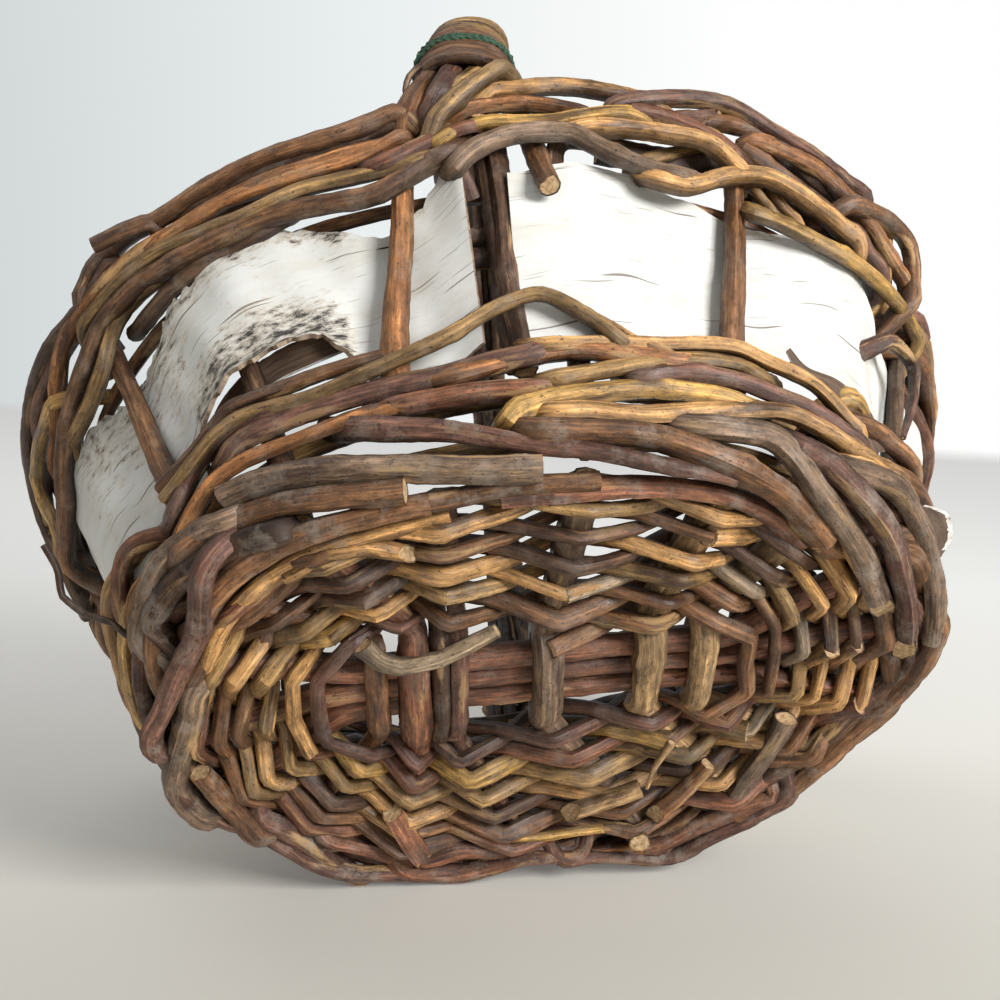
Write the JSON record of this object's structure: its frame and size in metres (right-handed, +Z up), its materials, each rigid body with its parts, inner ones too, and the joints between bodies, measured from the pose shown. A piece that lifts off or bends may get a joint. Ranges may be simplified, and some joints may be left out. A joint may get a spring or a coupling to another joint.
{
  "type": "foraging basket",
  "caption": "Oval willow foraging basket with a stick base, woven rod walls, a birch bark band laid in and out of the stakes, and a fixed arched carrying handle.",
  "frame": {"origin": "on the floor under the middle of the basket's box, in the plane of the cut stake feet", "axes": "+Z up through the mouth, +X along the oval's long side, +Y across it along the handle"},
  "size_m": [0.3374, 0.3108, 0.2662],
  "materials": {
    "stake_willow": "unpeeled willow rod, satin brown bark with knots",
    "red_stick": "peeled red-brown stick, satin",
    "base_stick": "unpeeled willow rod, satin brown bark with knots",
    "base_weaver": "unpeeled willow rod, satin brown bark with knots",
    "upsett_willow": "unpeeled willow rod, satin brown bark with knots",
    "lower_willow": "unpeeled willow rod, satin brown bark with knots",
    "upper_willow": "unpeeled willow rod, satin brown bark with knots",
    "birch_bark": "matt white outer birch bark with dark lenticels and torn grey edges",
    "bow_willow": "unpeeled willow rod, satin brown bark with knots",
    "side_willow": "unpeeled willow rod, satin brown bark with knots",
    "lashing_willow": "unpeeled willow rod, satin brown bark with knots",
    "green_cord": "twisted green cord"
  },
  "bodies": {
    "root": {"stake_1": "stake_willow", "stake_2": "stake_willow", "stake_3": "stake_willow", "stake_4": "stake_willow", "stake_5": "stake_willow", "stake_6": "stake_willow", "stake_7": "stake_willow", "stake_8": "stake_willow", "stake_9": "stake_willow", "stake_10": "stake_willow", "stake_11": "stake_willow", "stake_12": "stake_willow", "stake_13": "stake_willow", "stake_14": "stake_willow", "stake_15": "stake_willow", "stake_16": "stake_willow", "stake_17": "stake_willow", "stake_18": "stake_willow", "base_long_stick_1": "red_stick", "base_long_stick_2": "red_stick", "base_long_stick_3": "red_stick", "base_cross_stick_1": "base_stick", "base_cross_stick_2": "base_stick", "base_cross_stick_3": "base_stick", "base_cross_stick_4": "base_stick", "base_cross_stick_5": "base_stick", "base_cross_stick_6": "base_stick", "base_weaver_a": "base_weaver", "base_weaver_b": "base_weaver", "upsett_rod_a": "upsett_willow", "upsett_rod_b": "upsett_willow", "upsett_rod_c": "upsett_willow", "lower_wale_1_rod_a": "lower_willow", "lower_wale_1_rod_b": "lower_willow", "lower_wale_1_rod_c": "lower_willow", "lower_wale_2_rod_a": "lower_willow", "lower_wale_2_rod_b": "lower_willow", "lower_wale_2_rod_c": "lower_willow", "upper_wale_1_rod_a": "upper_willow", "upper_wale_1_rod_b": "upper_willow", "upper_wale_1_rod_c": "upper_willow", "upper_wale_2_rod_a": "upper_willow", "upper_wale_2_rod_b": "upper_willow", "upper_wale_2_rod_c": "upper_willow", "bark_strip_left": "birch_bark", "bark_strip_right": "birch_bark", "handle_bow": "bow_willow", "handle_side_rod_left": "side_willow", "handle_side_rod_right": "side_willow", "front_lashing": "lashing_willow", "back_lashing": "lashing_willow", "green_cord": "green_cord"}
  },
  "joints": []
}
